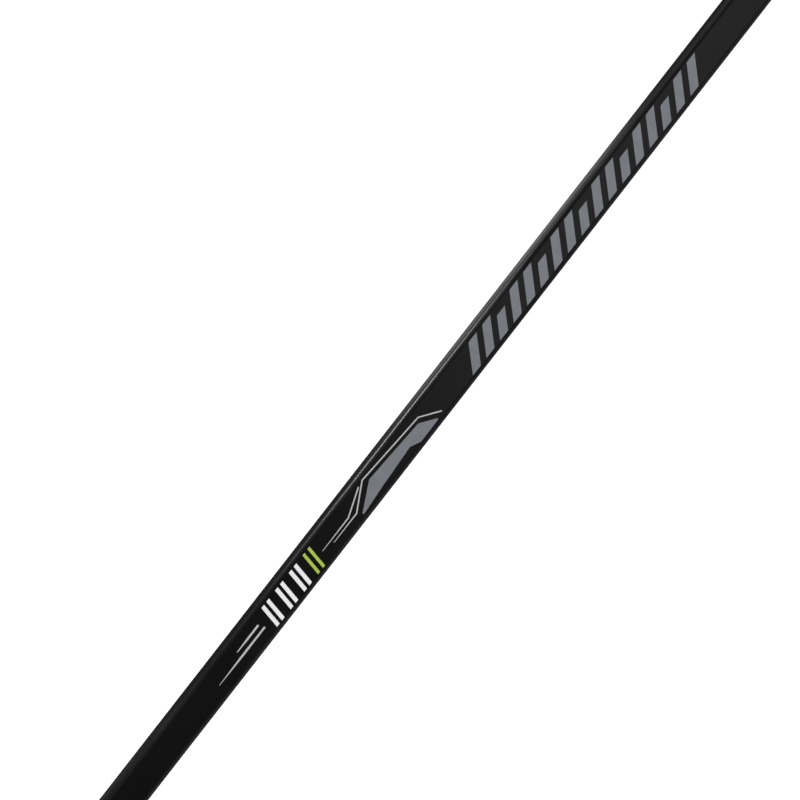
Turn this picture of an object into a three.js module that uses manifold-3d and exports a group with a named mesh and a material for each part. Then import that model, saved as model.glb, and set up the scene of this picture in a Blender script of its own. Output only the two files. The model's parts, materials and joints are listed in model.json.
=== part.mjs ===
// Ice hockey stick: a laminated wooden shaft with a moulded plastic blade let into its slotted lower end.
//
// Millimetres, +Z up. The stick stands as it is held in play, with the flat sole of its blade on z = 0.
// X runs along the blade, its toe towards -X; the shaft leans towards +X; Y is across the thickness, and
// -Y is the forehand side, towards which the toe bends. The origin is on the sole just ahead of the heel.
import * as THREE from "three";
import { mergeVertices } from "three/addons/utils/BufferGeometryUtils.js";
import Module from "manifold-3d";

const wasm = await Module();
wasm.setup();

// ---- Driving dimensions -------------------------------------------------------------------------------

const STICK_LENGTH = 1524; // heel corner to butt end along the shaft
const LEAN = THREE.MathUtils.degToRad(47); // shaft above the ice, lie 6

const SHAFT_WIDTH = 30; // in the plane of the blade
const SHAFT_THICKNESS = 20; // across it
const CORNER_RADIUS = 5;
const CORNER_TO_THICKNESS = 0.32; // edge radius of a section too thin for the full corner
const CORNER_STEPS = 5;

const HEEL_X = 40; // corner where the back of the shaft would meet the sole
const HEEL_ROUNDING = 30; // length of each line that the heel's curve takes up
const NECK_ROUNDING = 24;
const BLADE_LENGTH = 310; // heel corner to toe
const BLADE_HEIGHT_HEEL = 60;
const BLADE_HEIGHT_TOE = 70;
const TOE_TIP_HEIGHT = 43;
const TOE_SOLE_ROUNDING = 50;
const TOE_TOP_ROUNDING = 36;

const TOE_THICKNESS = 5.4;
const THINNING_LENGTH = 165; // down the shaft from the wrap's top to half of the thinning
const THINNING_POWER = 4;

const BEND_START_X = -15; // the blade is straight from here to the heel
const BEND_DEPTH = 14;
const BEND_POWER = 1.7;
const FACE_ANGLE = THREE.MathUtils.degToRad(5); // how far the face opens at the toe
const FACE_PIVOT_HEIGHT = 34;

const WRAP_TOP = 255; // height of the glass-cloth wrap up the shaft
const SKIN = 0.6; // lacquer and cloth on the wood
const GLUE_LINE = 0.1;
const SEAM = 0.3; // between two pieces that butt along the stick
const OVERRUN = 5; // how far a hollow is cut on past its open end

const TONGUE_START = 0.4; // share of the hosel's length above the blade core's tongue
const TONGUE_SEAM = 0.002; // the same share, between the tongue and the end of its slot
const VENEER_START = 0.01; // share of the heel's length that the veneers start below the plies
const CORE_THICKNESS = 4;
const CORE_TOE_THICKNESS = 2.6;
const PLY_STEPS = [2, 5, 7.3]; // joints between the plies, out from the middle of the thickness

const FILM_THICKNESS = 0.1;
const FILM_WIDTH = 19.8;
const FILM_START = 415; // from the heel corner
const FILM_LENGTH = 640;

// ---- Outline of the stick in the plane of the blade ------------------------------------------------------

const along = new THREE.Vector2(Math.cos(LEAN), Math.sin(LEAN));
const across = new THREE.Vector2(-along.y, along.x);
const heelCorner = new THREE.Vector2(HEEL_X, 0);
const toeX = HEEL_X - BLADE_LENGTH;
const topSlope = (BLADE_HEIGHT_TOE - BLADE_HEIGHT_HEEL) / BLADE_LENGTH;

const point = (x, z) => new THREE.Vector2(x, z);
const topEdge = (x) => point(x, BLADE_HEIGHT_HEEL + topSlope * (HEEL_X - x));

// A point s up the shaft from the heel corner and q from the shaft's back edge.
const onShaft = (s, q) => heelCorner.clone().addScaledVector(along, s).addScaledVector(across, q);

// Where the front edge of the shaft, drawn on, meets the top edge of the blade.
function neckCorner() {
  const foot = onShaft(0, SHAFT_WIDTH);
  const s = (topEdge(foot.x).y - foot.y) / (along.y + topSlope * along.x);
  return onShaft(s, SHAFT_WIDTH);
}

const neck = neckCorner();
const neckOnShaft = neck.clone().addScaledVector(along, NECK_ROUNDING);
const neckOnBlade = topEdge(neck.x - NECK_ROUNDING);
const heelOnShaft = onShaft(HEEL_ROUNDING, 0);
const heelOnSole = point(HEEL_X - HEEL_ROUNDING, 0);
const toeOnSole = point(toeX + TOE_SOLE_ROUNDING, 0);
const toeOnTop = topEdge(toeX + TOE_TOP_ROUNDING);
const toeTip = point(toeX, TOE_TIP_HEIGHT);

const line = (a, b) => new THREE.LineCurve(a, b);
const curve = (a, corner, b) => new THREE.QuadraticBezierCurve(a, corner, b);

// The stick as five stretches from butt to toe, each with its lower and its upper edge.
const stretches = [
  {
    name: "shaft",
    lower: line(onShaft(STICK_LENGTH, 0), onShaft(WRAP_TOP, 0)),
    upper: line(onShaft(STICK_LENGTH, SHAFT_WIDTH), onShaft(WRAP_TOP, SHAFT_WIDTH)),
    steps: 1,
  },
  {
    name: "hosel",
    lower: line(onShaft(WRAP_TOP, 0), heelOnShaft),
    upper: line(onShaft(WRAP_TOP, SHAFT_WIDTH), neckOnShaft),
    steps: 9,
  },
  {
    name: "heel",
    lower: curve(heelOnShaft, heelCorner, heelOnSole),
    upper: curve(neckOnShaft, neck, neckOnBlade),
    steps: 6,
  },
  { name: "blade", lower: line(heelOnSole, toeOnSole), upper: line(neckOnBlade, toeOnTop), steps: 10 },
  {
    name: "toe",
    lower: curve(toeOnSole, point(toeX, 0), toeTip),
    upper: curve(toeOnTop, topEdge(toeX), toeTip),
    steps: 7,
  },
];

// Places along the stick are counted in stretches: 0 is the butt, 1 the wrap's top, 2 the bottom of the
// hosel, 3 the start of the flat sole, 4 the start of the toe's curve and 5 its tip.
const BUTT = 0;
const WRAP_EDGE = 1;
const HOSEL_END = 2;
const TIP = 4.95;
const HOLLOW_TIP = 4 + 6 / 7; // one of the toe's own sections, so that the pieces inside share it
const CORE_TIP = 4.8375; // stops the core and veneers a glue line short of the hollow's end

// ---- Sections --------------------------------------------------------------------------------------------

// Sideways shift of the blade's middle surface: a power curve towards the toe, and the opening of the face.
function bend(x, z) {
  const share = Math.max(0, (BEND_START_X - x) / (BEND_START_X - toeX));
  return -BEND_DEPTH * share ** BEND_POWER + share * Math.tan(FACE_ANGLE) * (z - FACE_PIVOT_HEIGHT);
}

// Thickness falls from the shaft's to the toe's as 1 / (1 + (d / length)^power) down from the wrap's top.
function thicknessAt(middle) {
  const s = middle.clone().sub(heelCorner).dot(along);
  const down = Math.max(0, WRAP_TOP - s) / THINNING_LENGTH;
  return TOE_THICKNESS + (SHAFT_THICKNESS - TOE_THICKNESS) / (1 + down ** THINNING_POWER);
}

// The section at a place: its lower and upper points, its height, thickness and corner radius.
function sectionAt(place) {
  const index = Math.min(Math.floor(place), stretches.length - 1);
  const { lower, upper } = stretches[index];
  const bottom = lower.getPoint(place - index);
  const top = upper.getPoint(place - index);
  const thickness = thicknessAt(bottom.clone().lerp(top, 0.5));
  return {
    middle: bottom.clone().lerp(top, 0.5),
    upwards: top.clone().sub(bottom).normalize(),
    height: top.distanceTo(bottom),
    thickness,
    radius: Math.min(CORNER_RADIUS, CORNER_TO_THICKNESS * thickness),
  };
}

// A point of a section: a up the section from its middle, b across the thickness.
function place3d({ middle, upwards }, a, b) {
  const p = middle.clone().addScaledVector(upwards, a);
  return [p.x, b + bend(p.x, p.y), p.y];
}

// Ring of a rounded rectangle, taken in by inset on every side.
function roundedRing(section, inset) {
  const halfHeight = section.height / 2 - inset;
  const halfThickness = section.thickness / 2 - inset;
  const radius = section.radius - inset;
  const ring = [];
  for (let corner = 0; corner < 4; corner++) {
    const sideA = corner === 0 || corner === 3 ? 1 : -1;
    const sideB = corner < 2 ? 1 : -1;
    for (let step = 0; step <= CORNER_STEPS; step++) {
      const turn = ((corner + step / CORNER_STEPS) * Math.PI) / 2;
      const a = sideA * (halfHeight - radius) + radius * Math.cos(turn);
      const b = sideB * (halfThickness - radius) + radius * Math.sin(turn);
      ring.push(place3d(section, a, b));
    }
  }
  return ring;
}

// Ring of a flat layer from b0 to b1 across the thickness, taller than the section by margin at each end.
function layerRing(section, b0, b1, margin) {
  const reach = section.height / 2 + margin;
  return [
    [reach, b0],
    [reach, b1],
    [-reach, b1],
    [-reach, b0],
  ].map(([a, b]) => place3d(section, a, b));
}

const CLOSEST_PLACES = 0.01;

// The places from one to another, at each stretch's own spacing.
function placesBetween(from, to) {
  const places = [from];
  stretches.forEach(({ steps }, index) => {
    for (let step = 0; step < steps; step++) {
      const place = index + step / steps;
      if (place > from + CLOSEST_PLACES && place < to - CLOSEST_PLACES) places.push(place);
    }
  });
  places.push(to);
  return places;
}

// ---- Solids ----------------------------------------------------------------------------------------------

// Closed skin through rings of equal length, with a fan over each end.
function loft(rings) {
  const count = rings[0].length;
  const faces = [];
  for (let r = 0; r + 1 < rings.length; r++) {
    for (let i = 0; i < count; i++) {
      const j = (i + 1) % count;
      const [a, b, c, d] = [r * count + i, r * count + j, (r + 1) * count + j, (r + 1) * count + i];
      faces.push(a, c, d, a, b, c);
    }
  }
  const last = (rings.length - 1) * count;
  for (let i = 1; i + 1 < count; i++) {
    faces.push(0, i + 1, i);
    faces.push(last, last + i, last + i + 1);
  }
  const geometry = new THREE.BufferGeometry();
  geometry.setAttribute("position", new THREE.Float32BufferAttribute(rings.flat(2), 3));
  geometry.setIndex(faces);
  return geometry;
}

function toSolid(geometry) {
  const bare = geometry.clone();
  bare.deleteAttribute("normal");
  bare.deleteAttribute("uv");
  const merged = mergeVertices(bare, 1e-4);
  return new wasm.Manifold(
    new wasm.Mesh({
      numProp: 3,
      vertProperties: new Float32Array(merged.getAttribute("position").array),
      triVerts: new Uint32Array(merged.index.array),
    }),
  );
}

function toGeometry(solid) {
  const mesh = solid.getMesh();
  const geometry = new THREE.BufferGeometry();
  geometry.setAttribute("position", new THREE.BufferAttribute(mesh.vertProperties, 3));
  geometry.setIndex(new THREE.BufferAttribute(mesh.triVerts, 1));
  return geometry;
}

const bodyBetween = (from, to, inset) =>
  toSolid(loft(placesBetween(from, to).map((place) => roundedRing(sectionAt(place), inset))));

const LAYER_MARGIN = 8;
const FAR_OUT = 20; // beyond the stick's surface, across the thickness

// A layer of the stick, its faces at b0 and b1, which may change along the stick.
const layerBetween = (from, to, b0, b1) =>
  toSolid(
    loft(
      placesBetween(from, to).map((place) => {
        const section = sectionAt(place);
        return layerRing(section, b0(place), b1(place), LAYER_MARGIN);
      }),
    ),
  );

const constant = (value) => () => value;

// Half the thickness of the blade core, thinner from the heel to the tip.
function coreHalf(place) {
  const share = THREE.MathUtils.clamp((place - HOSEL_END) / (TIP - HOSEL_END), 0, 1);
  return (CORE_THICKNESS + (CORE_TOE_THICKNESS - CORE_THICKNESS) * share) / 2;
}

// ---- Pieces ----------------------------------------------------------------------------------------------

const finishes = {
  lacquer: new THREE.MeshStandardMaterial({ color: 0x121214, roughness: 0.28, metalness: 0 }),
  glassCloth: new THREE.MeshStandardMaterial({ color: 0x141416, roughness: 0.38, metalness: 0 }),
  birch: new THREE.MeshStandardMaterial({ color: 0xd8b98a, roughness: 0.6, metalness: 0 }),
  poplar: new THREE.MeshStandardMaterial({ color: 0xcfc29a, roughness: 0.65, metalness: 0 }),
  plastic: new THREE.MeshStandardMaterial({ color: 0x2a2a2c, roughness: 0.5, metalness: 0 }),
  ink: new THREE.MeshStandardMaterial({ color: 0x73767c, roughness: 0.35, metalness: 0.2 }),
};

const stick = new THREE.Group();

function add(name, geometry, finish, parent = stick) {
  const mesh = new THREE.Mesh(geometry, finish);
  mesh.name = name;
  parent.add(mesh);
  return mesh;
}

// A length along the straight shaft as a share of its stretch.
const shaftShare = (length) => length / (STICK_LENGTH - WRAP_TOP);

// Lacquered sleeve of the straight shaft, open at both ends.
function shaftLacquer() {
  const outside = bodyBetween(BUTT, WRAP_EDGE - shaftShare(SEAM), 0);
  const section = sectionAt(BUTT);
  const rings = [STICK_LENGTH + OVERRUN, WRAP_TOP - OVERRUN].map((s) =>
    roundedRing({ ...section, middle: onShaft(s, SHAFT_WIDTH / 2) }, SKIN),
  );
  return toGeometry(outside.subtract(toSolid(loft(rings))));
}

// Black glass cloth drawn over the blade and the lower end of the shaft: one sock, open at its top.
function bladeWrap() {
  const outside = bodyBetween(WRAP_EDGE, TIP, 0);
  const inside = bodyBetween(WRAP_EDGE - shaftShare(OVERRUN), HOLLOW_TIP, SKIN);
  return toGeometry(outside.subtract(inside));
}

// The wood under the skin, down to a place on the stick.
const woodTo = (place) => bodyBetween(BUTT, place, SKIN + GLUE_LINE);

// One ply of the shaft, from b0 to b1 across the thickness.
function ply(wood, b0, b1) {
  const slab = layerBetween(
    BUTT,
    HOSEL_END,
    constant(b0 + GLUE_LINE / 2),
    constant(b1 - GLUE_LINE / 2),
  );
  return toGeometry(wood.intersect(slab));
}

add("shaft_lacquer_sleeve", shaftLacquer(), finishes.lacquer);

const longWood = woodTo(HOSEL_END);
const shortWood = woodTo(WRAP_EDGE + TONGUE_START - TONGUE_SEAM);
const halfShaft = SHAFT_THICKNESS / 2;
const [innerJoint, middleJoint, outerJoint] = PLY_STEPS;

add("centre_poplar_ply", ply(shortWood, -innerJoint, innerJoint), finishes.poplar);
for (const [side, sign] of [
  ["front", -1],
  ["back", 1],
]) {
  const between = (near, far) => [sign * near, sign * far].sort((a, b) => a - b);
  add(`${side}_inner_poplar_ply`, ply(longWood, ...between(innerJoint, middleJoint)), finishes.poplar);
  add(`${side}_outer_poplar_ply`, ply(longWood, ...between(middleJoint, outerJoint)), finishes.poplar);
  add(`${side}_birch_ply`, ply(longWood, ...between(outerJoint, halfShaft)), finishes.birch);
}

// Inside of the wrap, from which the blade's core and its two veneers are cut.
const bladeInside = bodyBetween(WRAP_EDGE, HOLLOW_TIP, SKIN + GLUE_LINE);

// Moulded core: the whole middle of the blade, with a tongue that fills the slot in the shaft.
function bladeCore() {
  const inward = (place) => coreHalf(place) - GLUE_LINE / 2;
  const layer = layerBetween(WRAP_EDGE + TONGUE_START, CORE_TIP, (place) => -inward(place), inward);
  return toGeometry(bladeInside.intersect(layer));
}

// Wooden veneer on one face of the core, from the end of the plies to the toe.
function bladeVeneer(sign) {
  const near = (place) => sign * (coreHalf(place) + GLUE_LINE / 2);
  const far = constant(sign * FAR_OUT);
  const [b0, b1] = sign < 0 ? [far, near] : [near, far];
  return toGeometry(bladeInside.intersect(layerBetween(HOSEL_END + VENEER_START, CORE_TIP, b0, b1)));
}

add("blade_core", bladeCore(), finishes.plastic);
add("blade_front_veneer", bladeVeneer(-1), finishes.birch);
add("blade_back_veneer", bladeVeneer(1), finishes.birch);
add("blade_glass_wrap", bladeWrap(), finishes.glassCloth);

// Printed transfer films on the two wide faces of the shaft, in a group whose +X runs up the shaft.
const shaftFrame = new THREE.Group();
shaftFrame.position.set(heelCorner.x, 0, heelCorner.y);
shaftFrame.rotation.y = -LEAN;
stick.add(shaftFrame);

for (const [side, sign] of [
  ["front", -1],
  ["back", 1],
]) {
  const film = add(
    `${side}_graphic_film`,
    new THREE.BoxGeometry(FILM_LENGTH, FILM_THICKNESS, FILM_WIDTH),
    finishes.ink,
    shaftFrame,
  );
  const clear = halfShaft + GLUE_LINE / 2 + FILM_THICKNESS / 2;
  film.position.set(FILM_START + FILM_LENGTH / 2, sign * clear, SHAFT_WIDTH / 2);
}

export default stick;
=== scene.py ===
"""An ice hockey stick: its lacquered shaft, cloth-wrapped blade, printed marks and sawn butt end.

All lengths are in metres. The stick stands on the flat sole of its blade: X runs along the blade, Z is up,
and -Y is the forehand side. Distances "along" are measured up the shaft, "across" is at right angles to it
in the plane of the blade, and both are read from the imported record.
"""

import json
import math

import bpy
import numpy as np
from mathutils import Matrix, Vector


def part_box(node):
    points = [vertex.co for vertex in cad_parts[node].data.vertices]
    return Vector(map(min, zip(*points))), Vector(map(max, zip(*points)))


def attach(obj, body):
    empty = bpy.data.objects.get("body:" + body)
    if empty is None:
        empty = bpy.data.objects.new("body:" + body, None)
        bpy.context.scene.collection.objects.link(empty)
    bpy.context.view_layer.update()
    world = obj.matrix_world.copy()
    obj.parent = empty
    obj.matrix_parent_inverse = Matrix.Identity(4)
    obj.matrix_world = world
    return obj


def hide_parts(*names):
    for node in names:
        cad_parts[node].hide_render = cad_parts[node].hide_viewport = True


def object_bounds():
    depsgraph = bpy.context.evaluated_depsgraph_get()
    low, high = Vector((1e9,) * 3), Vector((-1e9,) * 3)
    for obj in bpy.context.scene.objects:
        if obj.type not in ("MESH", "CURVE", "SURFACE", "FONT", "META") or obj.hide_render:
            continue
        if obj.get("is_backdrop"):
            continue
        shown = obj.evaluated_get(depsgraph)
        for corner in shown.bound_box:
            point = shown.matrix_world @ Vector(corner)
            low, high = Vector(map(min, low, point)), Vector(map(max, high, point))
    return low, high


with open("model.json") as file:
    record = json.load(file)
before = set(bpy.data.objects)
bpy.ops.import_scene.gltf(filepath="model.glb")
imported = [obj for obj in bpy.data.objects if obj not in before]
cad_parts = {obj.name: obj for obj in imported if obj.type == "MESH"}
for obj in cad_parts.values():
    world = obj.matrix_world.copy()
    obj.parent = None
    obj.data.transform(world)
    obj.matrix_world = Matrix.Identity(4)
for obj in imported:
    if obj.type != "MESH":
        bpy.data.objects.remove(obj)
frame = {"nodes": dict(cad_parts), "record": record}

CAD_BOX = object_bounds()
MM = 0.001
BODY = "root"

# ---- Sizes of the stick ----------------------------------------------------------------------------------

SHAFT_WIDTH = 30 * MM
SHAFT_THICKNESS = 20 * MM
CORNER_RADIUS = 5 * MM
CORNER_TO_THICKNESS = 0.32
SKIN = 0.6 * MM
SEAM = 0.3 * MM

HEEL_X = 40 * MM
HEEL_ROUNDING = 30 * MM
NECK_ROUNDING = 24 * MM
BLADE_LENGTH = 310 * MM
BLADE_HEIGHT_HEEL = 60 * MM
BLADE_HEIGHT_TOE = 70 * MM
TOE_TIP_HEIGHT = 43 * MM
TOE_SOLE_ROUNDING = 50 * MM
TOE_TOP_ROUNDING = 36 * MM
TOE_THICKNESS = 5.4 * MM
THINNING_LENGTH = 165 * MM
THINNING_POWER = 4
BEND_START_X = -15 * MM
BEND_DEPTH = 14 * MM
BEND_POWER = 1.7
FACE_ANGLE = math.radians(5)
FACE_PIVOT_HEIGHT = 34 * MM
WRAP_TOP = 255 * MM
TIP = 4.95
HOLLOW_TIP = 4 + 6 / 7


def mount(name):
    """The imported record's mount of that name."""
    return next(m for m in frame["record"]["mounts"] if m["name"] == name)


ALONG = np.array(mount("butt_end")["axis"])[[0, 2]]
ACROSS = np.array([-ALONG[1], ALONG[0]])
HEEL = np.array([HEEL_X, 0.0])
BUTT = np.array(mount("butt_end")["pos_m"])[[0, 2]]
STICK_LENGTH = float((BUTT - HEEL) @ ALONG)


def on_shaft(s, q):
    """Points s up the shaft from the heel corner and q from its back edge, in the plane of the blade."""
    return HEEL + np.multiply.outer(s, ALONG) + np.multiply.outer(q, ACROSS)


# ---- Meshes ----------------------------------------------------------------------------------------------


def grid_faces(rows, columns, close_rows, close_columns):
    """Quads of a grid of points numbered row by row; a closed direction joins its last line to its first."""
    r = np.arange(rows if close_rows else rows - 1)
    c = np.arange(columns if close_columns else columns - 1)
    r, c = (g.ravel() for g in np.meshgrid(r, c, indexing="ij"))
    down, right = (r + 1) % rows, (c + 1) % columns
    corners = (r * columns + c, r * columns + right, down * columns + right, down * columns + c)
    return np.stack(corners, axis=1)


def make_piece(name, points, faces, slot, finish, smooth=True):
    """An object at the origin from an array of points and a list of faces, facing outwards."""
    mesh = bpy.data.meshes.new(name)
    mesh.from_pydata(points.reshape(-1, 3).tolist(), [], [list(map(int, f)) for f in faces])
    mesh.validate()
    if signed_volume(mesh) < 0:
        mesh.flip_normals()
    mesh.polygons.foreach_set("use_smooth", np.full(len(mesh.polygons), smooth))
    mesh.materials.append(finish)
    piece = bpy.data.objects.new(name, mesh)
    bpy.context.scene.collection.objects.link(piece)
    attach(piece, BODY)
    return piece


def signed_volume(mesh):
    """Volume inside a closed mesh: the sum over its triangles of the box product of their corners, over 6."""
    mesh.calc_loop_triangles()
    corners = np.zeros(len(mesh.loop_triangles) * 3, np.int32)
    mesh.loop_triangles.foreach_get("vertices", corners)
    places = np.zeros(len(mesh.vertices) * 3)
    mesh.vertices.foreach_get("co", places)
    a, b, c = places.reshape(-1, 3)[corners.reshape(-1, 3)].transpose(1, 0, 2)
    return float(np.einsum("ij,ij->i", a, np.cross(b, c)).sum() / 6)


def add_uv(piece, u, v, girths):
    """A UV map in metres from one (u, v) for each vertex, v being the way round a ring of that girth.

    On the face that closes a ring, the points where the ring starts count one girth further on.
    """
    mesh = piece.data
    corners = np.zeros(len(mesh.loops), np.int32)
    mesh.loops.foreach_get("vertex_index", corners)
    counts = np.zeros(len(mesh.polygons), np.int32)
    mesh.polygons.foreach_get("loop_total", counts)
    first = np.cumsum(counts) - counts
    u, v, girths = (np.ravel(values)[corners] for values in (u, v, girths))
    furthest = np.repeat(np.maximum.reduceat(v, first), counts)
    v = np.where(furthest - v > girths / 2, v + girths, v)
    layer = mesh.uv_layers.new(name="surface")
    layer.data.foreach_set("uv", np.stack([u, v], axis=1).astype(np.float32).ravel())


def add_attribute(piece, name, values):
    """A number for each vertex, which the material reads by name."""
    attribute = piece.data.attributes.new(name, "FLOAT", "POINT")
    attribute.data.foreach_set("value", np.ravel(values).astype(np.float32))


# ---- Rounded-rectangle rings -----------------------------------------------------------------------------

CORNER_STEPS = 12
SUPPORT = 0.25 * MM  # a line of points this far onto each flat keeps the flat's shading flat


def ring_pattern():
    """Turn, slide and corner signs of each point round a ring: an arc at each corner and two supports."""
    steps = np.linspace(0, 1, CORNER_STEPS + 1)
    steps = np.concatenate([[0], steps, [1]])
    slides = np.concatenate([[-1], np.zeros(CORNER_STEPS + 1), [1]])
    turn = (np.arange(4)[:, None] + steps) * math.pi / 2
    slide = np.tile(slides * SUPPORT, 4)
    sign_a = np.repeat([1, -1, -1, 1], len(steps))
    sign_b = np.repeat([1, 1, -1, -1], len(steps))
    return turn.ravel(), slide, sign_a, sign_b


TURN, SLIDE, SIGN_A, SIGN_B = ring_pattern()


def rounded_rings(half_a, half_b, radius):
    """Offsets (a, b) of rounded rectangles, one row per ring.

    A point of a corner is the corner's centre plus the radius turned by its angle, slid on along the flat.
    """
    half_a, half_b, radius = (np.atleast_1d(x)[:, None] for x in (half_a, half_b, radius))
    a = SIGN_A * (half_a - radius) + radius * np.cos(TURN) - SLIDE * np.sin(TURN)
    b = SIGN_B * (half_b - radius) + radius * np.sin(TURN) + SLIDE * np.cos(TURN)
    return a, b


def way_round(points):
    """Distance round each ring to its points, and the ring's whole girth beside each point."""
    steps = np.linalg.norm(np.roll(points, -1, axis=1) - points, axis=2)
    ends = np.cumsum(steps, axis=1)
    return ends - steps, np.broadcast_to(ends[:, -1:], steps.shape)


def corner_share():
    """1 at the middle of each rounded corner, falling to 0 where it meets the flats."""
    inside = (TURN / (math.pi / 2)) % 1
    return np.sin(math.pi * inside) ** 2


# ---- Shaft -----------------------------------------------------------------------------------------------

SHAFT_RINGS = 220
HIDDEN_RING_STEP = 24  # the inside, which nothing shows, keeps one ring in this many
LIP_RADIUS = 0.28 * MM
LIP_STEPS = 5
LIP_WEAR_AND_SHEEN = 2 * MM  # the lighter edge colour, part rubbed wear and part painted highlight, fades over this length from the butt end


def sleeve_path():
    """Closed path (s, inset) of the sleeve's wall: up the outside, over a rounded lip, down the inside, over
    the lower lip. Each lip is a quarter turn of the lip's radius at each edge of the wall."""
    quarter = np.linspace(0, math.pi / 2, LIP_STEPS)
    low, high = WRAP_TOP + SEAM, STICK_LENGTH
    outside = np.linspace(low + LIP_RADIUS, high - LIP_RADIUS, SHAFT_RINGS)
    inside = outside[::-HIDDEN_RING_STEP]
    parts = [
        (outside, np.zeros_like(outside)),
        (high - LIP_RADIUS * (1 - np.sin(quarter)), LIP_RADIUS * (1 - np.cos(quarter))),
        (high - LIP_RADIUS * (1 - np.cos(quarter)), SKIN - LIP_RADIUS * (1 - np.sin(quarter))),
        (inside, np.full_like(inside, SKIN)),
        (low + LIP_RADIUS * (1 - np.sin(quarter)), SKIN - LIP_RADIUS * (1 - np.cos(quarter))),
        (low + LIP_RADIUS * (1 - np.cos(quarter)), LIP_RADIUS * (1 - np.sin(quarter))),
    ]
    path = np.concatenate([np.stack(part, axis=1) for part in parts])
    apart = np.linalg.norm(path - np.roll(path, 1, axis=0), axis=1) > 1e-7
    return path[apart].T


def shaft_skin(finish):
    """The lacquered sleeve: a rounded rectangle, taken in by the path's inset, carried along the path."""
    s, inset = sleeve_path()
    a, b = rounded_rings(SHAFT_WIDTH / 2 - inset, SHAFT_THICKNESS / 2 - inset, CORNER_RADIUS - inset)
    flat = on_shaft(s, np.full_like(s, SHAFT_WIDTH / 2))[:, None] + a[..., None] * ACROSS
    points = np.stack([flat[..., 0], b, flat[..., 1]], axis=-1)
    faces = grid_faces(*a.shape, True, True)
    piece = make_piece("shaft_skin", points, faces, "lacquer", finish)
    add_uv(piece, np.broadcast_to(s[:, None], a.shape), *way_round(points))
    # the lacquer's colour is lightened at the corners and at the butt end's lip: partly rubbed wear, partly a
    # painted edge highlight
    lip = np.exp(-(STICK_LENGTH - s) / LIP_WEAR_AND_SHEEN)
    add_attribute(piece, "edge", np.maximum(corner_share(), lip[:, None]))
    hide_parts("shaft_lacquer_sleeve")


# ---- Blade -----------------------------------------------------------------------------------------------


def line(start, end):
    """A straight edge as a function of its share t."""
    return lambda t: start + np.multiply.outer(t, end - start)


def curve(start, corner, end):
    """A quadratic curve that leaves start towards corner and arrives at end from it."""

    def at(t):
        t = np.asarray(t)[:, None]
        return (1 - t) ** 2 * start + 2 * t * (1 - t) * corner + t**2 * end

    return at


def blade_stretches():
    """Lower and upper edge of each stretch of the stick from the wrap's top down to the toe."""
    toe_x = HEEL_X - BLADE_LENGTH
    slope = (BLADE_HEIGHT_TOE - BLADE_HEIGHT_HEEL) / BLADE_LENGTH

    def top_edge(x):
        return np.array([x, BLADE_HEIGHT_HEEL + slope * (HEEL_X - x)])

    foot = on_shaft(0.0, SHAFT_WIDTH)
    rise = (top_edge(foot[0])[1] - foot[1]) / (ALONG[1] + slope * ALONG[0])
    neck = on_shaft(rise, SHAFT_WIDTH)
    neck_on_shaft = neck + ALONG * NECK_ROUNDING
    neck_on_blade = top_edge(neck[0] - NECK_ROUNDING)
    heel_on_shaft = on_shaft(HEEL_ROUNDING, 0.0)
    heel_on_sole = np.array([HEEL_X - HEEL_ROUNDING, 0.0])
    toe_on_sole = np.array([toe_x + TOE_SOLE_ROUNDING, 0.0])
    toe_on_top = top_edge(toe_x + TOE_TOP_ROUNDING)
    tip = np.array([toe_x, TOE_TIP_HEIGHT])
    return [
        (
            line(on_shaft(WRAP_TOP, 0.0), heel_on_shaft),
            line(on_shaft(WRAP_TOP, SHAFT_WIDTH), neck_on_shaft),
        ),
        (curve(heel_on_shaft, HEEL, heel_on_sole), curve(neck_on_shaft, neck, neck_on_blade)),
        (line(heel_on_sole, toe_on_sole), line(neck_on_blade, toe_on_top)),
        (
            curve(toe_on_sole, np.array([toe_x, 0.0]), tip),
            curve(toe_on_top, top_edge(toe_x), tip),
        ),
    ]


STRETCHES = blade_stretches()


def edges_at(places):
    """Lower and upper edge points at places counted in stretches, 1 being the wrap's top."""
    lower, upper = np.zeros((2, len(places), 2))
    index = np.clip(places.astype(int), 1, len(STRETCHES)) - 1
    for number, (low, high) in enumerate(STRETCHES):
        here = index == number
        lower[here] = low(places[here] - 1 - number)
        upper[here] = high(places[here] - 1 - number)
    return lower, upper


def thickness_at(middle):
    """The shaft's thickness falls to the toe's as 1 / (1 + (d / length) ** power) below the wrap's top."""
    down = np.maximum(0, WRAP_TOP - (middle - HEEL) @ ALONG) / THINNING_LENGTH
    return TOE_THICKNESS + (SHAFT_THICKNESS - TOE_THICKNESS) / (1 + down**THINNING_POWER)


def bend(x, z):
    """Sideways shift: a power curve towards the toe, and the opening of the face with height."""
    share = np.maximum(0, BEND_START_X - x) / (BEND_START_X - HEEL_X + BLADE_LENGTH)
    return -BEND_DEPTH * share**BEND_POWER + share * math.tan(FACE_ANGLE) * (z - FACE_PIVOT_HEIGHT)


def stick_rings(places, inset):
    """Points round the stick at places along it, its section taken in by inset on every side."""
    lower, upper = edges_at(places)
    middle = (lower + upper) / 2
    height = np.linalg.norm(upper - lower, axis=1)
    upwards = (upper - lower) / height[:, None]
    thickness = thickness_at(middle)
    radius = np.minimum(CORNER_RADIUS, CORNER_TO_THICKNESS * thickness)
    a, b = rounded_rings(height / 2 - inset, thickness / 2 - inset, radius - inset)
    flat = middle[:, None] + a[..., None] * upwards[:, None]
    x, z = flat[..., 0], flat[..., 1]
    return np.stack([x, b + bend(x, z), z], axis=-1)


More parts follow.
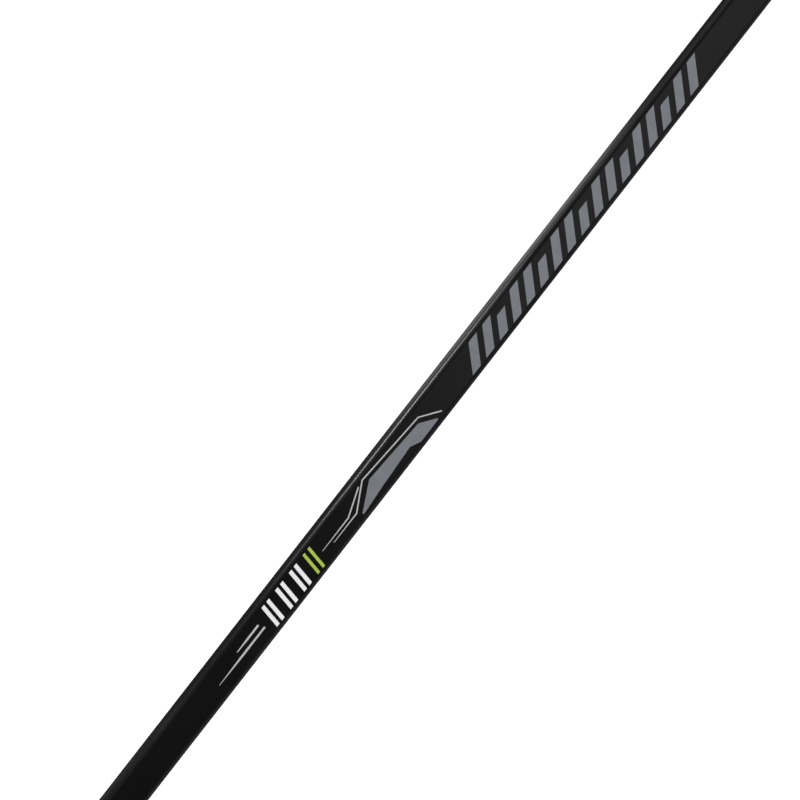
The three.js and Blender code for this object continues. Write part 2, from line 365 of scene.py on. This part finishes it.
RINGS = (60, 36, 90, 60)  # hosel, heel, blade and toe
WRAP_HIDDEN_STEP = 6
NEAR = 0.01  # places closer than this to the tip are left out
TIP_RINGS = 6
TIP_ROUNDING = 1.2 * MM
CLOTH_EDGE = 0.12 * MM  # the cloth's cut edge stands this far above the lacquer
CLOTH_FADE = 4 * MM
CLOTH_LAP = 1.6 * MM  # the cloth runs this far up over the lacquer, along its back edge
CLOTH_LIFT = 0.02 * MM  # of the lap above the lacquer, and the outward bulge of its cut face
CLOTH_WAVER = 0.35 * MM
CHORD_ROOM = 0.02 * MM  # keeps the fine surface inside the coarser one of the frame


def hand_cut(rows, columns, lapped):
    """Shift up the shaft of the lapped rings: the sum of three sines round the girth, as if cut by hand."""
    round_share = 2 * math.pi * np.arange(columns) / columns
    waver = np.sin(3 * round_share + 0.7) + 0.6 * np.sin(7 * round_share) + 0.4 * np.sin(16 * round_share + 2)
    shift = np.zeros((rows, columns))
    shift[lapped] = CLOTH_WAVER * waver / 2
    return shift[..., None] * np.array([ALONG[0], 0, ALONG[1]])


def wrap_path():
    """Places and insets of the sock's rings, and which of them lap over the lacquer.

    They run up the inside from the tip, out onto the lacquer, over the cut edge, and down the outside. The
    cut edge's height above the surface dies away down the outside as exp(-distance / fade), and the tip is a
    quarter turn.
    """
    hosel_length = WRAP_TOP - HEEL_ROUNDING
    places = np.concatenate([number + np.arange(count) / count for number, count in enumerate(RINGS, 1)])
    places = places[places < TIP - NEAR]
    inner = places[places < HOLLOW_TIP - NEAR][::WRAP_HIDDEN_STEP]
    inner = np.concatenate([inner, [HOLLOW_TIP]])[::-1]
    lap = 1 - CLOTH_LAP / hosel_length
    lapped = np.array([1, lap, lap - CLOTH_LIFT / hosel_length, lap])
    lapped_inset = np.array([-CLOTH_LIFT, -CLOTH_LIFT, -CLOTH_EDGE * 0.7, -CLOTH_EDGE])
    outer = np.concatenate([places, np.full(TIP_RINGS, TIP)])
    rounding = TIP_ROUNDING * (1 - np.cos(np.linspace(0, math.pi / 2, TIP_RINGS)))
    proud = CLOTH_EDGE * np.exp(-(outer - 1) * hosel_length / CLOTH_FADE)
    outer_inset = CHORD_ROOM + np.concatenate([np.zeros_like(places), rounding]) - proud
    path = np.concatenate([inner, lapped, outer])
    inset = np.concatenate([np.full_like(inner, SKIN), lapped_inset, outer_inset])
    return path, inset, slice(len(inner) + 1, len(inner) + len(lapped))


def blade_wrap(finish):
    """The cloth sock, closed over the toe at both ends of its path."""
    places, inset, lapped = wrap_path()
    points = stick_rings(places, inset)
    rows, columns = points.shape[:2]
    points += hand_cut(rows, columns, lapped)
    faces = list(grid_faces(rows, columns, False, True))
    faces.append(np.arange(columns)[::-1])
    faces.append(np.arange(columns) + (rows - 1) * columns)
    piece = make_piece("blade_wrap", points, faces, "glass_cloth", finish)
    middles = points.mean(axis=1)
    down = np.cumsum(np.linalg.norm(np.diff(middles, axis=0, prepend=middles[:1]), axis=1))
    add_uv(piece, np.broadcast_to(down[:, None], (rows, columns)), *way_round(points))
    add_attribute(piece, "edge", np.broadcast_to(corner_share(), (rows, columns)))
    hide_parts("blade_glass_wrap")


# ---- Printed marks ---------------------------------------------------------------------------------------

PRINT_RISE = 0.09 * MM
PRINT_SINK = 0.01 * MM


def film_layout(node):
    """Start point and length of a film, whose box is that of a rectangle leaning as the shaft does.

    The box's sides are length * (c, s) + width * (s, c), for a lean of cosine c and sine s.
    """
    low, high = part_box(node)
    middle = np.array([(low.x + high.x) / 2, (low.z + high.z) / 2])
    extent = np.array([high.x - low.x, high.z - low.z])
    c, s = ALONG
    length = np.linalg.solve(np.array([[c, s], [s, c]]), extent)[0]
    return middle - ALONG * length / 2, length


def with_rim(count):
    """Shares from 0 to 1, in steps, with a line close to each end for the rim."""
    return np.concatenate([[0, 0.03], np.linspace(0.06, 0.94, count), [0.97, 1]])


def print_patch(x, q):
    """A thin raised patch of ink over a grid of face coordinates, closed underneath.

    Its top is one rise above the face except along its outline, where it drops to the face.
    """
    height = np.full(x.shape, PRINT_RISE)
    height[[0, -1]] = 0
    height[:, [0, -1]] = 0
    top = np.stack([x, q, height], axis=-1)
    bottom = np.stack([x, q, np.full(x.shape, -PRINT_SINK)], axis=-1)
    rows, columns = x.shape
    count = rows * columns
    faces = grid_faces(rows, columns, False, False)
    under = faces[:, ::-1] + count
    number = np.arange(count).reshape(rows, columns)
    rim = np.concatenate([number[0, :-1], number[:-1, -1], number[-1, :0:-1], number[:0:-1, 0]])
    following = np.roll(rim, -1)
    sides = np.stack([following, rim, rim + count, following + count], axis=1)
    return np.concatenate([top, bottom]).reshape(-1, 3), np.concatenate([faces, under, sides])


def bar(start, width, low, high, slant):
    """A slanted bar: x is the start plus a share of the width plus slant times the height above low."""
    u, v = np.meshgrid(with_rim(2), with_rim(4), indexing="ij")
    q = low + (high - low) * v
    return print_patch(start + width * u + slant * (q - low), q)


def stripe(route, width, taper):
    """A pinstripe: offsets of half its width to each side of its route, along the mean normal at each bend.

    The route is in millimetres, and taper is the share of the width taken off at its first end.
    """
    route = np.array(route, float) * MM
    legs = np.diff(route, axis=0)
    legs /= np.linalg.norm(legs, axis=1)[:, None]
    normals = np.stack([-legs[:, 1], legs[:, 0]], axis=1)
    bends = np.concatenate([normals[:1], (normals[:-1] + normals[1:]) / 2, normals[-1:]])
    bends /= (bends**2).sum(1)[:, None] ** 0.5
    share = np.array([0, 0.04, 0.5, 0.96, 1]) - 0.5
    widths = width * np.ones(len(route))
    widths[0] *= 1 - taper
    grid = route[:, None] + share[None, :, None] * widths[:, None, None] * bends[:, None]
    return print_patch(grid[..., 0], grid[..., 1])


def wedge(knots, low_edge, high_edge):
    """A panel between two bent edges: at each x, a share v of the way from the low edge to the high one.

    The knots and edges are in millimetres.
    """
    x = np.unique(np.concatenate([np.linspace(knots[0], knots[-1], 40), knots])) * MM
    low = np.interp(x, np.array(low_edge)[:, 0] * MM, np.array(low_edge)[:, 1] * MM)
    high = np.interp(x, np.array(high_edge)[:, 0] * MM, np.array(high_edge)[:, 1] * MM)
    v = with_rim(3)
    q = low[:, None] + (high - low)[:, None] * v
    return print_patch(np.broadcast_to(x[:, None], q.shape).copy(), q)


def place_prints(patches, node, side):
    """Face coordinates to the frame: x up the shaft from the film's start, q across it, height outwards."""
    start = film_layout(node)[0]
    points, faces, first = [], [], 0
    for patch_points, patch_faces in patches:
        points.append(patch_points)
        faces.append(patch_faces + first)
        first += len(patch_points)
    x, q, height = np.concatenate(points).T
    flat = start + np.multiply.outer(x, ALONG) + np.multiply.outer(q, ACROSS)
    y = side * (SHAFT_THICKNESS / 2 + height)
    faces = np.concatenate(faces)
    return np.stack([flat[:, 0], y, flat[:, 1]], axis=1), faces


# The layout of the band is in millimetres from the start of the film and from its middle line.
REACH = 9.9  # half the width of the band
WHITE_STROKES = (66, 72.5, 84, 90.5, 102, 108.5)
GREEN_STROKES = (120, 126.5)
WHITE_STROKE_WIDTH = 3.5
GREEN_STROKE_WIDTH = 2.7
STROKE_SLANT = 0.22
PINSTRIPE = 1.15 * MM
LOW_PINSTRIPE = 1.7 * MM
BAND_START = 324
BAND_END = 640
BAR_COUNT = 17
BAR_FILL = 0.58  # share of the pitch that a bar takes
BAR_SLANT = 0.95


def grey_band():
    """A row of slanted bars, evenly spaced, every third of them cut off at three quarters of its height."""
    run = BAND_END - BAND_START - 2 * REACH * BAR_SLANT
    pitch = run / (BAR_COUNT - 1 + BAR_FILL)
    for number in range(BAR_COUNT):
        top = REACH / 2 if number % 3 == 2 else REACH
        start = BAND_START + number * pitch
        yield bar(start * MM, pitch * BAR_FILL * MM, -REACH * MM, top * MM, BAR_SLANT)


def grey_marks():
    """The slanted bars and the wedge panel."""
    marks = list(grey_band())
    marks.append(
        wedge(
            [181, 206, 209, 247, 256, 266, 279],
            [(179, -9.5), (209, -7.2), (247, -5.1), (256, -9.7), (280, -9.5)],
            [(179, -8.9), (206, 5.0), (266, 1.5), (280, -9.1)],
        )
    )
    return marks


def strokes(starts, width):
    """Thin slanted strokes across the band."""
    return [bar(s * MM, width * MM, -REACH * MM, REACH * MM, STROKE_SLANT) for s in starts]


def pinstripes():
    """Two plain pinstripes below the strokes, and two above them that step outwards round the wedge."""
    return [
        stripe([(0, -2), (30, -2), (60, -2)], LOW_PINSTRIPE, taper=0.8),
        stripe([(30, 3.2), (44, 3.2), (58, 3.2)], LOW_PINSTRIPE, taper=0.6),
        stripe([(137, -1), (171, -1), (196, 8.2)], PINSTRIPE, taper=0.6),
        stripe([(148, -4.1), (178, -4.1), (202, 9.2), (270, 4.6), (286, -7.6)], PINSTRIPE, taper=0.6),
    ]


def prints(side_name, side, inks):
    """The marks on one wide face of the shaft, one piece for each colour of ink."""
    node = f"{side_name}_graphic_film"
    groups = (
        ("grey", "ink", grey_marks()),
        ("silver", "ink_white", pinstripes()),
        ("white", "ink_white", strokes(WHITE_STROKES, WHITE_STROKE_WIDTH)),
        ("green", "ink_green", strokes(GREEN_STROKES, GREEN_STROKE_WIDTH)),
    )
    for colour, slot, patches in groups:
        points, faces = place_prints(patches, node, side)
        piece = make_piece(f"{side_name}_{colour}_print", points, faces, slot, inks[colour], smooth=False)
        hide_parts(node)


# ---- Materials -------------------------------------------------------------------------------------------


RESIN_IOR = 1.45  # lacquer, ink and laminating resin alike
YARN_PAIR = 2 * MM


class Finish:
    """A material under construction: a Principled shader and the nodes that feed it."""

    def __init__(self, name, color, roughness, ior=RESIN_IOR):
        self.material = bpy.data.materials.new(name)
        self.material.use_nodes = True
        self.tree = self.material.node_tree
        self.shader = self.tree.nodes["Principled BSDF"]
        self.shader.inputs["Base Color"].default_value = (*color, 1)
        self.shader.inputs["Roughness"].default_value = roughness
        self.shader.inputs["IOR"].default_value = ior

    def node(self, kind, links=None, **values):
        """A node of that kind, with its properties or sockets set and its inputs linked."""
        made = self.tree.nodes.new(f"ShaderNode{kind}")
        for key, value in values.items():
            if hasattr(made, key):
                setattr(made, key, value)
            else:
                made.inputs[key.replace("_", " ")].default_value = value
        for socket, source in (links or {}).items():
            self.tree.links.new(source, made.inputs[socket])
        return made

    def coordinates(self, kind="Object", scale=(1, 1, 1), turn=(0, 0, 0)):
        """Object or UV coordinates, turned and then scaled."""
        source = self.node("TexCoord")
        turned = self.node("Mapping", {"Vector": source.outputs[kind]}, Rotation=turn)
        return self.node("Mapping", {"Vector": turned.outputs[0]}, Scale=scale).outputs[0]

    def noise(self, place, scale, detail=4.0, roughness=0.5):
        """Noise from 0 to 1."""
        grain = {"Scale": scale, "Detail": detail, "Roughness": roughness}
        return self.node("TexNoise", {"Vector": place}, **grain).outputs["Fac"]

    def range(self, value, low, high, to_low, to_high):
        """A value moved from one range to another, held inside it."""
        limits = {"From_Min": low, "From_Max": high, "To_Min": to_low, "To_Max": to_high}
        return self.node("MapRange", {"Value": value}, **limits).outputs[0]

    def math(self, operation, a, b=None):
        """One arithmetic step on sockets or numbers."""
        made = self.node("Math", operation=operation)
        for socket, value in zip(made.inputs, (a, b)):
            if value is None:
                continue
            if isinstance(value, (int, float)):
                socket.default_value = value
            else:
                self.tree.links.new(value, socket)
        return made.outputs[0]

    def mix(self, share, first, second):
        """A colour between two others."""
        made = self.node("Mix", {"Factor": share}, data_type="RGBA")
        for socket, value in ((made.inputs[6], first), (made.inputs[7], second)):
            if isinstance(value, tuple):
                socket.default_value = (*value, 1)
            else:
                self.tree.links.new(value, socket)
        return made.outputs[2]

    def bump(self, height, strength, distance, below=None):
        """A bump, on top of the one below."""
        links = {"Height": height}
        if below is not None:
            links["Normal"] = below
        return self.node("Bump", links, Strength=strength, Distance=distance).outputs[0]

    def feed(self, socket, source):
        """Links a source to one of the shader's sockets."""
        self.tree.links.new(source, self.shader.inputs[socket])


def black_lacquer():
    """Satin black lacquer over faint wood grain, with a fine spray texture, and rounded edges painted
    lighter: partly rubbed wear, partly a painted edge highlight.
    """
    f = Finish("satin_black_lacquer", (0.0035, 0.0035, 0.0037), 0.3)
    grain = f.noise(f.coordinates("UV", (14, 900, 1)), 1.0, 6.0, 0.6)
    cloudy = f.noise(f.coordinates("UV", (9, 30, 1)), 1.0, 3.0)
    spray = f.noise(f.coordinates(), 1100.0, 2.0)
    scratches = f.noise(f.coordinates("UV", (60, 5200, 1)), 1.0, 2.0)
    edge = f.node("Attribute", attribute_name="edge").outputs["Fac"]
    # lighter colour at the corners and the butt end's lip: partly rubbed wear, partly a painted edge
    # highlight
    rubbed_and_edge_sheen = f.math("MULTIPLY", edge, f.range(cloudy, 0.45, 0.7, 0.15, 0.8))
    base = f.mix(cloudy, (0.0024, 0.0024, 0.0026), (0.0046, 0.0045, 0.0048))
    f.feed("Base Color", f.mix(f.math("MULTIPLY", rubbed_and_edge_sheen, 0.5), base, (0.03, 0.03, 0.031)))
    fine = f.range(scratches, 0.62, 0.72, 0.0, 0.1)
    f.feed("Roughness", f.math("ADD", f.range(cloudy, 0.3, 0.7, 0.2, 0.3), fine))
    below = f.bump(grain, 0.3, 0.00006)
    f.feed("Normal", f.bump(spray, 0.12, 0.00003, below))
    return f.material


def black_cloth():
    """Black glass cloth under resin: a plain weave on the bias, low where the resin has filled it."""
    f = Finish("resin_filled_black_cloth", (0.013, 0.013, 0.0136), 0.4)
    yarn = 2 * math.pi / YARN_PAIR
    place = f.node("SeparateXYZ", {"Vector": f.coordinates("UV", turn=(0, 0, math.radians(45)))})
    warp = f.math("SINE", f.math("MULTIPLY", place.outputs["X"], yarn))
    weft = f.math("SINE", f.math("MULTIPLY", place.outputs["Y"], yarn))
    weave = f.range(f.math("MULTIPLY", warp, weft), -1, 1, 0, 1)
    resin = f.noise(f.coordinates(), 60.0, 4.0)
    shown = f.math("MULTIPLY", weave, f.range(resin, 0.35, 0.65, 0.45, 1.0))
    edge = f.node("Attribute", attribute_name="edge").outputs["Fac"]
    base = f.mix(shown, (0.0085, 0.0085, 0.0088), (0.021, 0.021, 0.0218))
    # lighter colour at the rounded corners: partly rubbed wear, partly a painted edge highlight
    rubbed_and_edge_sheen = f.math("MULTIPLY", edge, f.range(resin, 0.45, 0.7, 0.1, 0.5))
    f.feed("Base Color", f.mix(rubbed_and_edge_sheen, base, (0.045, 0.045, 0.046)))
    f.feed("Roughness", f.range(shown, 0, 1, 0.46, 0.34))
    below = f.bump(shown, 0.5, 0.00012)
    f.feed("Normal", f.bump(f.noise(f.coordinates(), 900.0, 2.0), 0.1, 0.00003, below))
    return f.material


def sawn_wood(name, light, dark, ring_width, pith):
    """Wood whose grain runs up the shaft: rings round a far-off pith, drawn-out fibres, and open pores.

    A ring's tone climbs with the fourth power of its share, from pale early wood to a thin dark line.
    """
    f = Finish(name, light, 0.6)
    lean = (0, math.atan2(ALONG[1], ALONG[0]), 0)
    section = f.coordinates(scale=(0.01, 1, 1), turn=lean)
    reach = f.node("VectorMath", {0: section}, operation="DISTANCE")
    reach.inputs[1].default_value = (0, *pith)
    waver = f.math("MULTIPLY", f.noise(section, 260.0, 3.0), ring_width * 1.6)
    count = f.math("DIVIDE", f.math("ADD", reach.outputs["Value"], waver), ring_width)
    late = f.math("POWER", f.math("FRACT", count), 4.0)
    fibres = f.noise(f.coordinates(scale=(60, 5200, 5200), turn=lean), 1.0, 4.0)
    pores = f.noise(f.coordinates(scale=(300, 9000, 9000), turn=lean), 1.0, 2.0)
    tone = f.math("MULTIPLY", late, f.range(fibres, 0.3, 0.7, 0.6, 1.0))
    mottled = f.math("ADD", f.math("MULTIPLY", tone, 0.75), f.range(fibres, 0.35, 0.65, 0.0, 0.25))
    pitted = f.range(pores, 0.6, 0.68, 0.0, 0.45)
    f.feed("Base Color", f.mix(pitted, f.mix(mottled, light, dark), tuple(c * 0.45 for c in dark)))
    f.feed("Roughness", f.range(fibres, 0.3, 0.7, 0.5, 0.75))
    f.feed("Normal", f.bump(f.math("SUBTRACT", fibres, pitted), 0.4, 0.0001))
    return f.material


def moulded_plastic():
    """Dark moulded plastic with a fine spark-eroded texture."""
    f = Finish("moulded_dark_plastic", (0.02, 0.02, 0.022), 0.5)
    grain = f.noise(f.coordinates(), 1500.0, 3.0)
    f.feed("Roughness", f.range(grain, 0.3, 0.7, 0.42, 0.6))
    f.feed("Normal", f.bump(grain, 0.3, 0.00005))
    return f.material


def printed_ink(name, color, darker):
    """Screen-printed ink under clear coat: uneven in tone, with the print's fine pitting."""
    f = Finish(name, color, 0.36)
    tone = f.noise(f.coordinates(), 90.0, 5.0, 0.6)
    pits = f.noise(f.coordinates(), 2200.0, 2.0)
    f.feed("Base Color", f.mix(f.range(tone, 0.3, 0.7, 0, 1), darker, color))
    f.feed("Roughness", f.range(pits, 0.3, 0.7, 0.3, 0.46))
    f.feed("Normal", f.bump(pits, 0.15, 0.00003))
    return f.material


def pale_floor():
    """Smooth pale studio floor."""
    return Finish("pale_studio_floor", (0.88, 0.88, 0.88), 0.9, ior=1.1).material


WOODS = {
    "poplar": ((0.62, 0.52, 0.33), (0.36, 0.27, 0.13), 2.1 * MM),
    "birch": ((0.68, 0.50, 0.30), (0.40, 0.25, 0.12), 1.3 * MM),
}
PITH_REACH = 55 * MM
PITH_TURN = math.radians(137.5)


def finish_nodes(finishes):
    """Gives each node of the frame the finish of its slot, and each wooden one a pith of its own."""
    for number, part in enumerate(frame["record"]["subparts"]):
        node, slot = frame["nodes"][part["node"]], part["material_slot"]
        finish = finishes.get(slot)
        if slot in WOODS:
            bearing = number * PITH_TURN
            pith = (PITH_REACH * math.cos(bearing), PITH_REACH * math.sin(bearing))
            finish = sawn_wood(f"{part['node']}_wood", *WOODS[slot], pith)
        node.data.materials.clear()
        node.data.materials.append(finish)


# ---- Studio ----------------------------------------------------------------------------------------------

VIEW_TURN = math.radians(12.5)  # from straight on to the wide face, towards the shaft's front edge
SHAFT_SLOPE = math.radians(52.07)  # of the shaft in the picture
FRAME_WIDTH = 0.648
LENS = 200
SENSOR = 36
AIM_BELOW_FILM = 0.048
AIM_OFF_AXIS = 0.0231


def in_space(flat):
    """A point or direction of the plane of the blade as a vector."""
    return Vector((flat[0], 0, flat[1]))


def make_camera():
    """A long-lens camera across the shaft, rolled until the shaft has its slope in the picture."""
    start, length = film_layout("front_graphic_film")
    aim = start + ALONG * (length / 2 - AIM_BELOW_FILM) + ACROSS * AIM_OFF_AXIS
    along, across = in_space(ALONG), in_space(ACROSS)
    back = Vector((0, -1, 0)) * math.cos(VIEW_TURN) + across * math.sin(VIEW_TURN)
    side = back.cross(along)
    right = along * math.cos(SHAFT_SLOPE) - side * math.sin(SHAFT_SLOPE)
    up = along * math.sin(SHAFT_SLOPE) + side * math.cos(SHAFT_SLOPE)
    data = bpy.data.cameras.new("camera")
    data.lens, data.sensor_width = LENS, SENSOR
    data.clip_end = 100
    camera = bpy.data.objects.new("camera", data)
    place = in_space(aim) + back * (FRAME_WIDTH * LENS / SENSOR)
    turn = Matrix((right, up, back)).transposed().to_4x4()
    camera.matrix_world = Matrix.Translation(place) @ turn
    bpy.context.scene.collection.objects.link(camera)
    bpy.context.scene.camera = camera


OVERHEAD_POWER = 1.0
OVERHEAD_SPREAD = math.radians(70)
STRIPS = ((0.68, 2.7), (0.88, 0.3))  # distance along the shaft and power of each
STRIP_SIZE = (0.16, 0.12)
STRIP_DISTANCE = 0.9
CARD_SIZE = (0.9, 0.9)
CARD_DISTANCE = 1.6
CARD_ALONG = 1.15
CARD_POWER = 1.2
BACK_CARD_OFF_AXIS = 0.9
BACK_CARD_POWER = 2.5
RIM_ALONG = 0.895
RIM_BEARING = math.radians(48)  # from straight off the shaft's front edge, backwards
RIM_SIZE = (0.4, 2.1)
RIM_POWER = 1.3
BLADE_MIDDLE = Vector((-0.12, 0, 0.04))
BLADE_CARD_OFFSET = Vector((-0.5, 1.3, 0.3))  # of the back one; the front one is its mirror image
BLADE_CARD_SIZE = (0.7, 0.4)
BLADE_CARD_POWER = 0.8
WALLS_IN_GLOSS = 0.035  # brightness of the room's walls to reflections, as if hung with dark flags
CEILING_IN_GLOSS = 0.45  # and of its ceiling and floor
WALL_STEEPNESS = 0.3  # the sine of the slope up to which a reflection still sees wall
FLOOR_REACH = 40
FLOOR_DROP = MM / 2


def add_light(name, place, aim, along, size, power):
    """A rectangular soft light at place, facing aim, with the first side of its size turned along."""
    data = bpy.data.lights.new(name, "AREA")
    data.shape = "RECTANGLE"
    data.size, data.size_y = size
    data.energy = power
    lamp = bpy.data.objects.new(name, data)
    back = (place - aim).normalized()
    side = (along - back * along.dot(back)).normalized()
    turn = Matrix((side, back.cross(side), back)).transposed().to_4x4()
    lamp.matrix_world = Matrix.Translation(place) @ turn
    lamp.visible_camera = False
    bpy.context.scene.collection.objects.link(lamp)
    return lamp


def make_room():
    """White surroundings. Reflections see them dimmed: dark at eye level, brighter straight up and down."""
    world = bpy.data.worlds.new("studio")
    world.use_nodes = True
    nodes, link = world.node_tree.nodes, world.node_tree.links.new
    background = nodes["Background"]
    background.inputs["Color"].default_value = (1, 1, 1, 1)
    direction = nodes.new("ShaderNodeSeparateXYZ")
    link(nodes.new("ShaderNodeTexCoord").outputs["Generated"], direction.inputs[0])
    steepness = nodes.new("ShaderNodeMath")
    steepness.operation = "ABSOLUTE"
    link(direction.outputs["Z"], steepness.inputs[0])
    seen = nodes.new("ShaderNodeMapRange")
    seen.interpolation_type = "SMOOTHSTEP"
    seen.inputs["From Min"].default_value = WALL_STEEPNESS
    seen.inputs["To Min"].default_value = WALLS_IN_GLOSS
    seen.inputs["To Max"].default_value = CEILING_IN_GLOSS
    link(steepness.outputs[0], seen.inputs["Value"])
    strength = nodes.new("ShaderNodeMix")
    strength.inputs["A"].default_value = 1.0
    link(nodes.new("ShaderNodeLightPath").outputs["Is Glossy Ray"], strength.inputs["Factor"])
    link(seen.outputs[0], strength.inputs["B"])
    link(strength.outputs["Result"], background.inputs["Strength"])
    bpy.context.scene.world = world
    bpy.context.scene.view_settings.view_transform = "Standard"


def make_floor():
    """A wide pale floor just under the sole, left out of the reflections."""
    mesh = bpy.data.meshes.new("floor")
    signs = ((-1, -1), (1, -1), (1, 1), (-1, 1))
    corners = [(FLOOR_REACH * x, FLOOR_REACH * y, -FLOOR_DROP) for x, y in signs]
    mesh.from_pydata(corners, [], [(0, 1, 2, 3)])
    mesh.materials.append(pale_floor())
    floor = bpy.data.objects.new("floor", mesh)
    floor.visible_glossy = False
    bpy.context.scene.collection.objects.link(floor)
    floor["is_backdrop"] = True


def make_lamps():
    """A soft light overhead, strips and a rim card off the shaft's front edge, cards before and behind."""
    sun = bpy.data.lights.new("overhead", "SUN")
    sun.energy, sun.angle = OVERHEAD_POWER, OVERHEAD_SPREAD
    overhead = bpy.data.objects.new("overhead", sun)
    bpy.context.scene.collection.objects.link(overhead)

    across, along = in_space(ACROSS), in_space(ALONG)
    for number, (distance, power) in enumerate(STRIPS, 1):
        edge = in_space(on_shaft(distance, SHAFT_WIDTH))
        place = edge + across * STRIP_DISTANCE
        add_light(f"edge_strip_{number}", place, edge, along, STRIP_SIZE, power)
    face = in_space(on_shaft(CARD_ALONG, SHAFT_WIDTH / 2))
    ray = Vector((0, -1, 0)) * math.cos(VIEW_TURN) - across * math.sin(VIEW_TURN)
    add_light("front_card", face + ray * CARD_DISTANCE, face, along, CARD_SIZE, CARD_POWER)
    rim = in_space(on_shaft(RIM_ALONG, SHAFT_WIDTH))
    off = across * math.cos(RIM_BEARING) + Vector((0, 1, 0)) * math.sin(RIM_BEARING)
    add_light("rim_card", rim + off * CARD_DISTANCE, rim, along, RIM_SIZE, RIM_POWER)
    behind = face + Vector((0, CARD_DISTANCE, 0)) - across * BACK_CARD_OFF_AXIS
    add_light("back_card", behind, face, along, CARD_SIZE, BACK_CARD_POWER)
    for name, side in (("blade_card", -1), ("blade_back_card", 1)):
        place = BLADE_MIDDLE + BLADE_CARD_OFFSET * Vector((1, side, 1))
        add_light(name, place, BLADE_MIDDLE, Vector((1, 0, 0)), BLADE_CARD_SIZE, BLADE_CARD_POWER)


make_camera()
make_room()
make_floor()
make_lamps()
lacquer = black_lacquer()
cloth = black_cloth()
inks = {
    "grey": printed_ink("grey_print_ink", (0.158, 0.168, 0.186), (0.136, 0.146, 0.162)),
    "silver": printed_ink("silver_print_ink", (0.43, 0.43, 0.44), (0.37, 0.37, 0.38)),
    "white": printed_ink("white_print_ink", (0.72, 0.72, 0.74), (0.65, 0.65, 0.67)),
    "green": printed_ink("green_print_ink", (0.35, 0.46, 0.055), (0.31, 0.41, 0.045)),
}
slots = {"lacquer": lacquer, "glass_cloth": cloth, "core_plastic": moulded_plastic(), "ink": inks["grey"]}
finish_nodes(slots)
shaft_skin(lacquer)
blade_wrap(cloth)
prints("front", -1, inks)
prints("back", 1, inks)

boxes = {"cad": CAD_BOX, "visual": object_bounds()}
{name: [list(corner) for corner in box] for name, box in boxes.items()}
